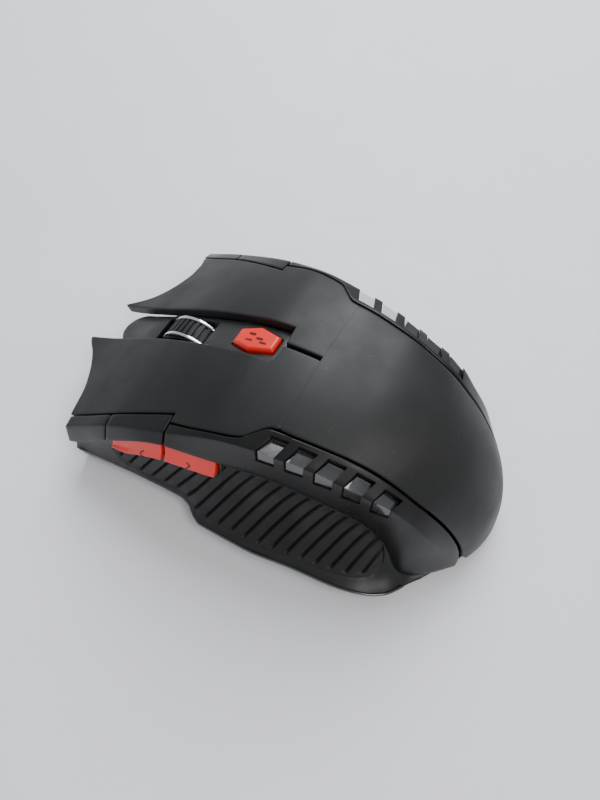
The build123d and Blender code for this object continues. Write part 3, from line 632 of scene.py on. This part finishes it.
def key_plan(edge, radius):
    """Plan places of a key on the thumb side, from the flex line to its front edge."""
    xs = np.concatenate([np.linspace(HINGE_X, SLIT_END - 0.06, 16),
                         np.linspace(SLIT_END + 0.3, NOTCH_X - 0.04, 22),
                         np.linspace(NOTCH_X + 0.04, 36, 36)])
    across = np.linspace(0, 1, 45)

    def span(x):
        gap = np.where(x < SLIT_END, 0.4, 4.9 + 0.055 * np.maximum(x - 34, 0)) + radius
        seam = np.where(x < NOTCH_X, seam_rear(x), seam_front(x)) - radius
        return gap, seam

    def place(x):
        gap, seam = span(x)
        return gap + (seam - gap) * across

    low, high = np.full_like(across, 34.0), np.full_like(across, 57.5)
    for _ in range(40):
        middle = (low + high) / 2
        short = middle < edge(place(middle)) - radius
        low, high = np.where(short, middle, low), np.where(short, high, middle)
    rows_x = [np.full_like(across, x) for x in xs]
    rows_x += [36 + (low - 36) * w for w in np.linspace(0, 1, 32)[1:]]
    rows_x = np.array(rows_x)
    return rows_x, np.array([place(row) for row in rows_x])


def key_skin(name, edge, side):
    """A key's closed skin; side is 1 for the thumb side and -1 for the other."""
    x, y = key_plan(edge, 0.3)
    if side < 0:
        x, y = x[:, ::-1], -y[:, ::-1]
    points, normals = skin_points(x, y)
    return shell(name, points, SKIN_WALL, (FLEX_ROLL, 0.3, 0.45, 0.3), normals)


for name, edge, side in (("left_key", edge_left, 1), ("right_key", edge_right, -1)):
    key = dress(key_skin(name + "_skin", edge, side), soft_touch)
    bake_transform(key)
    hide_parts(name)
    print(key.name, len(key.data.polygons), "faces, blends from housing to", name)

# %% [markdown]
# ## Front and side panels
# Under the top seam runs a satin strip with a sharp ridge: one facet looks up, the
# other looks out. In front it is plain, behind it wraps a row of slanted windows.
# Each strip is a grid, along the body one way and from seam over ridge to lip the
# other. The windows repeat, so Geometry Nodes set the cutters out along a line and
# an exact Boolean takes them from the strip.

# %% A bent strip between the seam and the lip


def strip_row(x, seam):
    """Points across the strip at x, from its seam over the ridge to its lip."""
    y_seam = float(seam(x)) + SEAM_GAP + 0.25
    z_seam = float(top(x, y_seam))
    start = np.array([y_seam, z_seam])
    ridge = np.array([float(ridge_y(x)), min(float(ridge_z(x)), z_seam - 0.1)])
    lip = np.array([float(lip_y(x)), min(float(lip_z(x)), float(ridge_z(x)) - 0.9) + 0.2])
    roll = 0.3
    before = ridge - unit(ridge - start) * min(roll, 0.4 * np.linalg.norm(ridge - start))
    after = ridge + unit(lip - ridge) * min(roll, 0.4 * np.linalg.norm(lip - ridge))
    crest = 0.25 * before + 0.5 * ridge + 0.25 * after
    line = [start + (before - start) * t for t in np.linspace(0, 1, 6)]
    line += [crest] + [after + (lip - after) * t for t in np.linspace(0, 1, 7)]
    return [(x, y, z) for y, z in line]


def strip(name, stations, seam):
    return shell(name, [strip_row(x, seam) for x in stations], 1.5, (0.2, 0.25, 0.2, 0.25), sharp=30.0)


def joined(name, *parts):
    """Several meshes as one piece."""
    bm = bmesh.new()
    for piece in parts:
        bm.from_mesh(piece.data)
        bpy.data.objects.remove(piece)
    mesh = bpy.data.meshes.new(name)
    bm.to_mesh(mesh)
    bm.free()
    piece = bpy.data.objects.new(name, mesh)
    bpy.context.scene.collection.objects.link(piece)
    return piece


PANEL_JOINT = 29.0
front_panel = joined("left_front_strip",
                     strip("strip_a", np.linspace(NOTCH_X + 0.65, PANEL_JOINT - 0.35, 22), seam_front),
                     strip("strip_b", np.linspace(PANEL_JOINT + 0.35, 42.1, 18), seam_front))
front_twin = mirrored(front_panel, "right_front_strip")
seat(front_panel, panel_satin, ["left_front_panel"], "housing")
seat(front_twin, panel_satin, ["right_front_panel"], "housing")

# %% Geometry Nodes trees with named inputs


def recipe(name, **inputs):
    """An empty tree with a geometry way in and out and named inputs, and its bench."""
    tree = bpy.data.node_groups.new(name, "GeometryNodeTree")
    tree.interface.new_socket("Geometry", in_out="INPUT", socket_type="NodeSocketGeometry")
    tree.interface.new_socket("Geometry", in_out="OUTPUT", socket_type="NodeSocketGeometry")
    kinds = {float: "NodeSocketFloat", int: "NodeSocketInt"}
    for label, value in inputs.items():
        kind = kinds.get(type(value), "NodeSocketMaterial")
        socket = tree.interface.new_socket(label.replace("_", " "), in_out="INPUT", socket_type=kind)
        if kind != "NodeSocketMaterial":
            socket.default_value = value
    bench = Bench(tree)
    way_in = tree.nodes.new("NodeGroupInput")
    bench.given = {s.name: Wire(bench, s) for s in way_in.outputs if s.name}
    return tree, bench


def serve(tree, bench, wire):
    """Sends a geometry out: instances made real, then the material set."""
    real = bench.node("GeometryNodeRealizeInstances", inputs={0: wire})
    painted = bench.node("GeometryNodeSetMaterial", inputs={0: real, 2: bench.given["Finish"]})
    way_out = tree.nodes.new("NodeGroupOutput")
    tree.links.new(painted.socket, way_out.inputs[0])


def grow(piece, tree, **inputs):
    """Runs a tree on a piece and keeps the result as its plain mesh."""
    modifier = piece.modifiers.new(tree.name, "NODES")
    modifier.node_group = tree
    names = {item.name: item.identifier for item in tree.interface.items_tree if item.in_out == "INPUT"}
    for label, value in inputs.items():
        modifier[names[label.replace("_", " ")]] = value
    return settle(piece)


def points_piece(name, points, edges=()):
    """A mesh of loose points, or of a line, in millimetres."""
    mesh = bpy.data.meshes.new(name)
    mesh.from_pydata([tuple(float(v) * MM for v in p) for p in points], list(edges), [])
    piece = bpy.data.objects.new(name, mesh)
    bpy.context.scene.collection.objects.link(piece)
    return piece


# %% The window cutters and the side strips
WINDOW_FIRST, WINDOW_PITCH = -10.6, 5.9
CUT_HALF_DEPTH, CUT_HALF_HEIGHT, CUT_DROP, CUT_MARGIN = 4.0, 7.0, 4.2, 1.4
WINDOW_SLANT = 0.364
cutters_tree, bench = recipe("window_cutters", Length=0.0039, Depth=0.0080, Height=0.014,
                             Slant=WINDOW_SLANT, Along=0.12, Finish=None)
size = bench.node("ShaderNodeCombineXYZ", inputs={0: bench.given["Length"], 1: bench.given["Depth"],
                                                  2: bench.given["Height"]})
block = bench.node("GeometryNodeMeshCube", inputs={"Size": size})
corner = bench.node("GeometryNodeInputPosition")
corner_x = bench.node("ShaderNodeSeparateXYZ", inputs={0: corner}, output=0)
corner_y = bench.node("ShaderNodeSeparateXYZ", inputs={0: corner}, output=1)
shear = bench.node("ShaderNodeCombineXYZ", inputs={0: corner_y * bench.given["Slant"],
                                                   1: corner_x * bench.given["Along"]})
slanted = bench.node("GeometryNodeSetPosition", inputs={"Geometry": block, "Offset": shear})
set_out = bench.node("GeometryNodeInstanceOnPoints", inputs={
    "Points": bench.given["Geometry"], "Instance": slanted})
serve(cutters_tree, bench, set_out)

window_x = WINDOW_FIRST - WINDOW_PITCH * np.arange(5)
window_at = [(x + CUT_HALF_DEPTH * WINDOW_SLANT, float(seam_rear(x)) + CUT_MARGIN + CUT_HALF_DEPTH,
              float(ridge_z(x)) - CUT_DROP + CUT_HALF_HEIGHT) for x in window_x]
cutters = grow(points_piece("window_cutters", window_at), cutters_tree, Finish=inner_plastic)
side_stations = np.concatenate([np.linspace(-51.9, -10, 70), np.linspace(-9.6, -2.6, 22),
                                np.linspace(-2, 12.35, 24)])
side_panel = strip("left_side_strip", side_stations, seam_rear)
cut = side_panel.modifiers.new("windows", "BOOLEAN")
cut.object, cut.operation, cut.solver = cutters, "DIFFERENCE", "EXACT"
cut.use_self = True
settle(side_panel)
bpy.data.objects.remove(cutters)
side_panel.data.shade_smooth()
side_panel.data.set_sharp_from_angle(angle=math.radians(30))
side_twin = mirrored(side_panel, "right_side_strip")
seat(side_panel, panel_satin, ["left_side_panel"], "housing")
seat(side_twin, panel_satin, ["right_side_panel"], "housing")

# %% [markdown]
# ## Ribbed grips
# The thumb pad is soft rubber with slanted flutes. The pad is a fine grid on the
# wall of the base, and a Geometry Nodes tree pushes its points out along their
# normals by a repeating wave, so pitch, depth and slant are three named numbers.
# The wave fades to nothing at the pad's border, which leaves a smooth frame round it.

# %% The wall of the base and the pad on it


def wall_y(x, z):
    """How far out the base's wall stands at a height."""
    y_lip = lip_y(x) - 0.6
    z_lip = np.minimum(lip_z(x), ridge_z(x) - 0.9) - 0.6
    y_wing = np.maximum(wing_y(x), y_lip + 0.4)
    z_wing = np.minimum(wing_z(x), z_lip - 0.2)
    y_waist = y_lip + 0.24 * (y_wing - y_lip)
    u = (z - z_wing) / (z_lip - z_wing)
    return y_wing * 2 * (u - 0.5) * (u - 1) - y_waist * 4 * u * (u - 1) + y_lip * 2 * u * (u - 0.5)


under_buttons = [(x, float(lip_z(x)) - float(button_depth(x)) - 0.8) for x in (1.0, 5, 12, 20, 26.5, 27.4)]
pad_top = curve([(-37.4, 8.6), (-36, 11.6), (-34, 13.8), (-30, 16.7), (-24, 19.2), (-17, 21.3), (-10, 22.7),
                 (-4, 23.7), (0.3, 24.3)] + under_buttons + [(28.5, 14.4)])
pad_foot = curve([(-37.4, 7.2), (-36.5, 6.3), (0, 6.25), (9, 6.6), (13, 7.6), (20, 7.5), (25, 8.6),
                  (27.4, 10.2), (28.5, 13.2)])
pad_x = np.linspace(-37.2, 28.3, 281)
pad_v = np.linspace(0, 1, 61)
pad_low, pad_high = pad_foot(pad_x) + 0.2, pad_top(pad_x) - 0.3
pad_z = pad_low[:, None] + (pad_high - pad_low)[:, None] * pad_v[None, :]
pad_xs = np.repeat(pad_x[:, None], len(pad_v), 1)
pad_grid = np.stack([pad_xs, wall_y(pad_xs, pad_z) + 0.1, pad_z], -1)
print("pad %.0f mm long, wall at its middle y %.1f mm" % (pad_x[-1] - pad_x[0], pad_grid[140, 30, 1]))

# %% The flutes
flutes_tree, bench = recipe("flutes", Pitch=0.0034, Depth=0.0007, Slant=0.58, Border=0.0006, Finish=None)
place = bench.node("GeometryNodeInputPosition")
along = bench.node("ShaderNodeSeparateXYZ", inputs={0: place}, output=0)
upward = bench.node("ShaderNodeSeparateXYZ", inputs={0: place}, output=2)
edge_distance = bench.node("GeometryNodeInputNamedAttribute", {"data_type": "FLOAT"}, {"Name": "border"})
fade = bench.node("ShaderNodeMapRange", {"clamp": True}, {
    0: edge_distance, 1: bench.given["Border"] * 0.6, 2: bench.given["Border"], 3: 0.0, 4: 1.0})
phase = (along + upward * bench.given["Slant"]) / bench.given["Pitch"]
saw = bench.node("ShaderNodeMath", {"operation": "FRACT"}, {0: phase})
groove = bench.node("ShaderNodeMapRange", {"clamp": True, "interpolation_type": "SMOOTHSTEP"}, {
    0: (saw - 0.5).size(), 1: 0.37, 2: 0.47, 3: 0.0, 4: 1.0})
lean = (saw - 0.5) * 0.40
lift = (lean - groove) * fade * bench.given["Depth"]
normal = bench.node("GeometryNodeInputNormal")
push = bench.node("ShaderNodeVectorMath", {"operation": "SCALE"}, {0: normal, 3: lift})
moved = bench.node("GeometryNodeSetPosition", inputs={"Geometry": bench.given["Geometry"], "Offset": push})
serve(flutes_tree, bench, moved)

grip = shell("thumb_pad", pad_grid[:, ::-1], 1.2, (0.2, 0.2, 0.2, 0.2))
outer_count = pad_grid.shape[0] * pad_grid.shape[1]
reach_x = np.minimum(pad_xs - pad_x[0], pad_x[-1] - pad_xs)
reach_z = np.minimum(pad_z - pad_low[:, None], pad_high[:, None] - pad_z)
border = np.zeros(len(grip.data.vertices), np.float32)
border[:outer_count] = (np.minimum(reach_x, reach_z)[:, ::-1] * MM).ravel()
attribute = grip.data.attributes.new("border", "FLOAT", "POINT")
attribute.data.foreach_set("value", border)
grow(grip, flutes_tree, Pitch=0.0034, Depth=0.0009, Slant=0.58, Border=0.0006, Finish=grip_rubber)
grip_twin = mirrored(grip, "far_pad")
seat(grip, grip_rubber, ["thumb_grip"], "housing")
seat(grip_twin, grip_rubber, ["right_grip"], "housing")

# %% [markdown]
# ## The base and its trim
# The base is one tub with a flared wing under the thumb. Its CAD shape is right, so a
# merged copy is smoothed; the copies of the deck and the door also get their edges
# rolled over. A thin polished band follows the wing's edge: a curve with a round
# section, swept by Geometry Nodes.

# %% Base, door and deck from the CAD
base = seat(cad_copy("base_shell", "base_tub"), base_satin, ["base_shell"], "housing")
deck = seat(cad_copy("centre_deck", "deck_tongue", 0.22), deck_grain, ["centre_deck"], "housing")
door = seat(cad_copy("battery_door", "cell_door", 0.2), base_satin, ["battery_door"],
            "battery_door")

# %% The polished band along the wing
band_tree, bench = recipe("wing_band", Radius=0.00035, Finish=None)
path = bench.node("GeometryNodeMeshToCurve", inputs={"Mesh": bench.given["Geometry"]})
round_section = bench.node("GeometryNodeCurvePrimitiveCircle", inputs={"Resolution": 10,
                                                                     "Radius": bench.given["Radius"]})
swept = bench.node("GeometryNodeCurveToMesh", inputs={"Curve": path, "Profile Curve": round_section,
                                                      "Fill Caps": True})
serve(band_tree, bench, swept)
band_x = np.linspace(-43.5, 40, 160)
band_points = [(x, float(wing_y(x)) - 0.22, float(wing_z(x)) + 0.1) for x in band_x]
band = grow(points_piece("wing_band", band_points, [(i, i + 1) for i in range(len(band_points) - 1)]),
            band_tree, Radius=0.00035, Finish=smoked_gloss)
outward(band)
band.data.shade_smooth()
band_twin = mirrored(band, "far_band")
seat(band, smoked_gloss, [], "housing")
seat(band_twin, smoked_gloss, [], "housing")

# %% [markdown]
# ## Buttons
# The thumb buttons are bevelled bars in saturated red. Their section has six
# corners that change along the wall, so each is lofted and its edges are rolled over.
# Plain chevrons, sunk in a darker tone, stand for the marks. The hexagonal button on
# the deck is the same idea with six sides and a chamfered rim.

# %% Thumb buttons


def button_ring(x):
    """Section of a thumb button at x."""
    high, y = float(lip_z(x)) - SEAM_GAP - 0.1, float(lip_y(x))
    depth = float(button_depth(x))
    low = high + 0.5 - depth + 0.1
    proud = 1.5 * min(1.0, depth / 4)
    corners = [(y - 2.0, high), (y - 0.3, high), (y + proud * 0.3, high - 0.5 * depth),
               (y + proud, low + 0.5), (y + proud * 0.9, low), (y - 2.0, low)]
    return [(x, cy, cz) for cy, cz in corners]


def facet_y(x, z):
    """How far out the lower facet of a thumb button stands."""
    ring = button_ring(x)
    (y_high, z_high), (y_low, z_low) = ring[2][1:], ring[3][1:]
    return y_high + (y_low - y_high) * (z_high - z) / (z_high - z_low)


def chevron(x, z, direction, reach=0.75, width=0.36):
    """A flat arrow head on a thumb button's lower facet."""
    line = [(-reach / 2, reach), (reach / 2, 0), (-reach / 2, -reach)]
    outer = [(direction * a, b) for a, b in line]
    inner = [(direction * (a - width), b) for a, b in line]
    flat = outer + inner[::-1]
    rings = [[(x + a, facet_y(x + a, z + b) + rise, z + b) for a, b in flat] for rise in (-0.5, 0.05)]
    return loft("mark", rings)


buttons = (("forward_button", 13.55, 27.25, 18.5, 1), ("back_button", 1.75, 12.75, 7.2, -1))
for node, start, stop, mark_x, direction in buttons:
    bar = loft(node + "_cap", [button_ring(x) for x in np.linspace(start, stop, 15)])
    rounded(bar, 0.35, 28.0)
    seat(bar, accent, [node], node)
    mark_z = float(lip_z(mark_x)) - 0.5 - 0.66 * float(button_depth(mark_x))
    mark = seat(chevron(mark_x, mark_z, direction), ink, [], node)
    mark.name = node + "_mark"

# %% The hexagonal button


def hexagon(x, grow_by):
    """Corners of the button's plan, grown or shrunk, round its centre x."""
    plan = [(5.4, 2.0), (5.4, -2.0), (0.6, -3.4), (-5.0, -2.0), (-5.0, 2.0), (0.6, 3.4)]
    return [(x + a * (1 + grow_by / 5.2), b * (1 + grow_by / 3.2)) for a, b in plan]


dpi_low, dpi_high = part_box("dpi_button")
dpi_x = (dpi_low[0] + dpi_high[0]) / 2 / MM - 0.2


def hex_ring(grow_by, drop):
    """One ring of the button, drop below its crown, following the deck's slope."""
    return [(x, y, float(top(x, 0)) - 0.7 - drop) for x, y in hexagon(dpi_x, grow_by)]


cap = loft("hex_cap", [hex_ring(0, 5.0), hex_ring(0, 1.0), hex_ring(-0.55, 0.35), hex_ring(-0.95, 0.3)])
rounded(cap, 0.28, 12.0, 3)
seat(cap, accent, ["dpi_button"], "dpi_button")


def bar_mark(x, y, length, width):
    """A small raised bar on the hexagonal button."""
    rings = []
    for rise in (-0.6, -0.12):
        corners = [(x + length / 2, y - width / 2), (x + length / 2, y + width / 2),
                   (x - length / 2, y + width / 2), (x - length / 2, y - width / 2)]
        rings.append([(a, b, float(top(a, 0)) - 0.7 - 0.3 + 0.18 + rise) for a, b in corners])
    return loft("bar", rings)


marks = joined("hex_marks", *[bar_mark(dpi_x + dx, dy, 1.5, 0.34)
                              for dx, dy in ((1.7, 0.9), (1.7, -0.9), (-0.6, 0.0), (-1.9, 0.9))])
seat(marks, ink, [], "dpi_button")

# %% [markdown]
# ## Scroll wheel
# The tyre is rubber with moulded cross ribs between two plated rims. Rims and tyre
# are turned shapes, so a profile is spun round the axle. The ribs repeat, so one
# rib block is set out on a circle by Geometry Nodes.

# %% Spun shapes round the axle
axle_low, axle_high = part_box("wheel_axle")
wheel_x = (axle_low[0] + axle_high[0]) / 2 / MM
wheel_z = (axle_low[2] + axle_high[2]) / 2 / MM


def spun(name, profile, steps=96):
    """A ring from a closed profile of (radius, y) points."""
    rings = []
    for a in np.linspace(0, 2 * math.pi, steps, endpoint=False):
        rings.append([(wheel_x + r * math.cos(a), y, wheel_z + r * math.sin(a)) for r, y in profile])
    return loft(name, rings, closed=False)


def rim_profile(side):
    """A plated rim: flat outside, rounded over the top."""
    y0, y1 = side * 2.13, side * 3.03
    return [(6.6, y0), (8.75, y0), (9.0, y0 + side * 0.12), (9.1, y0 + side * 0.45), (9.0, y1 - side * 0.12),
            (8.75, y1), (6.6, y1)]


rims = joined("plated_rims", spun("rim", rim_profile(1)), spun("rim", rim_profile(-1)))
seat(rims, plated, ["wheel_rims"], "wheel")

# %% Tyre with cross ribs
ribs_tree, bench = recipe("tyre_ribs", Count=36, Radius=0.0084, Rib_Length=0.0040, Rib_Width=0.0008,
                          Rib_Height=0.0011, Finish=None)
circle = bench.node("GeometryNodeMeshCircle", inputs={"Vertices": bench.given["Count"],
                                                      "Radius": bench.given["Radius"]})
rib_size = bench.node("ShaderNodeCombineXYZ", inputs={
    0: bench.given["Rib Height"], 1: bench.given["Rib Width"], 2: bench.given["Rib Length"]})
rib = bench.node("GeometryNodeMeshCube", inputs={"Size": rib_size})
spot = bench.node("GeometryNodeInputPosition")
aim = bench.node("FunctionNodeAlignRotationToVector", {"axis": "X"}, {"Vector": spot})
ribs = bench.node("GeometryNodeInstanceOnPoints", inputs={"Points": circle, "Instance": rib, "Rotation": aim})
stand = bench.node("GeometryNodeTransform", inputs={
    "Geometry": ribs, "Rotation": (math.pi / 2, 0, 0), "Translation": (wheel_x * MM, 0, wheel_z * MM)})
serve(ribs_tree, bench, bench.join(bench.given["Geometry"], stand))

tyre = spun("ribbed_tyre", [(7.05, -2.05), (8.35, -2.05), (8.55, -1.7), (8.6, 0), (8.55, 1.7),
                            (8.35, 2.05), (7.05, 2.05)])
grow(tyre, ribs_tree, Count=36, Finish=tyre_rubber)
tyre.data.shade_smooth()
tyre.data.set_sharp_from_angle(angle=math.radians(35))
seat(tyre, tyre_rubber, ["wheel_tyre"], "wheel")

# %% [markdown]
# ## Parts that keep their CAD shape
# Hubs, boards, switches, cells and screws are small prismatic parts, mostly hidden.
# Their CAD shapes are right as they are, so each only gets its proper finish.

# %% Finishes for the carried-over parts
finish_of = {
    smoked_gloss: ["left_vent_insert", "right_vent_insert"],
    glide: ["front_foot", "rear_foot"],
    steel: ["wheel_axle", "case_screws", "board_screws", "wheel_spring", "contact_plates", "contact_springs"],
    board_green: ["main_board", "side_board", "riser_board"],
    inner_plastic: ["wheel_hub", "wheel_carrier", "scroll_encoder", "left_key_switch", "right_key_switch",
                    "dpi_switch", "forward_switch", "back_switch", "optical_sensor", "power_switch",
                    "battery_tray", "usb_receiver"],
    pale_plastic: ["encoder_rotor", "power_knob"],
    accent: ["left_plunger", "right_plunger"],
    lens_clear: ["sensor_lens"],
    lamp_red: ["sensor_led"],
    jacket: ["battery_cells"],
}
for material, nodes in finish_of.items():
    for node in nodes:
        for place in frame["nodes"][node].material_slots:
            place.material = material
    print(material.name, "on", ", ".join(nodes))

# %% Floor, light and camera
floor_finish = Finish("pale_floor")
floor_finish.feed(Base_Color=floor_finish.mix(floor_finish.noise(60.0, 5.0), grey(0.74), grey(0.80)),
                  Roughness=floor_finish.limits(floor_finish.noise(9.0), 0.3, 0.7, 0.5, 0.65))
bpy.ops.mesh.primitive_plane_add(size=3.0)
floor = bpy.context.object
floor.name = "floor"
dress(floor, floor_finish.material)

world = bpy.data.worlds.new("soft_room")
bpy.context.scene.world = world
world.use_nodes = True
background = world.node_tree.nodes["Background"]
background.inputs[0].default_value = (0.93, 0.96, 1.0, 1)
background.inputs[1].default_value = 0.55


def lamp(name, place, target, size, power, tint):
    """A soft square lamp aimed at a point, in metres."""
    data = bpy.data.lights.new(name, "AREA")
    data.size, data.energy, data.color = size, power, tint
    light = bpy.data.objects.new(name, data)
    light.location = place
    light.rotation_euler = (Vector(target) - Vector(place)).to_track_quat("-Z", "Y").to_euler()
    bpy.context.scene.collection.objects.link(light)
    return light


lamp("window", (0.10, -0.42, 0.50), (0, 0, 0.02), 0.45, 5.5, (0.95, 0.98, 1.0))
lamp("ceiling", (-0.35, 0.10, 0.60), (0, 0, 0.02), 0.30, 2.0, (1.0, 0.98, 0.95))

data = bpy.data.cameras.new("camera")
data.lens, data.sensor_width, data.sensor_fit = 27.05, 36.0, "AUTO"
data.clip_start = 0.01
camera = bpy.data.objects.new("camera", data)
right, down, ahead = ((-0.8730, -0.4877, -0.0091), (-0.4194, 0.7599, -0.4966), (0.2491, -0.4297, -0.8679))
turn = Matrix([right, [-v for v in down], [-v for v in ahead]]).transposed().to_4x4()
camera.matrix_world = Matrix.Translation((-0.0395, 0.0608, 0.1406)) @ turn
bpy.context.scene.collection.objects.link(camera)
bpy.context.scene.camera = camera
print("camera at", [round(v, 4) for v in camera.location])

# %% The json module
import json
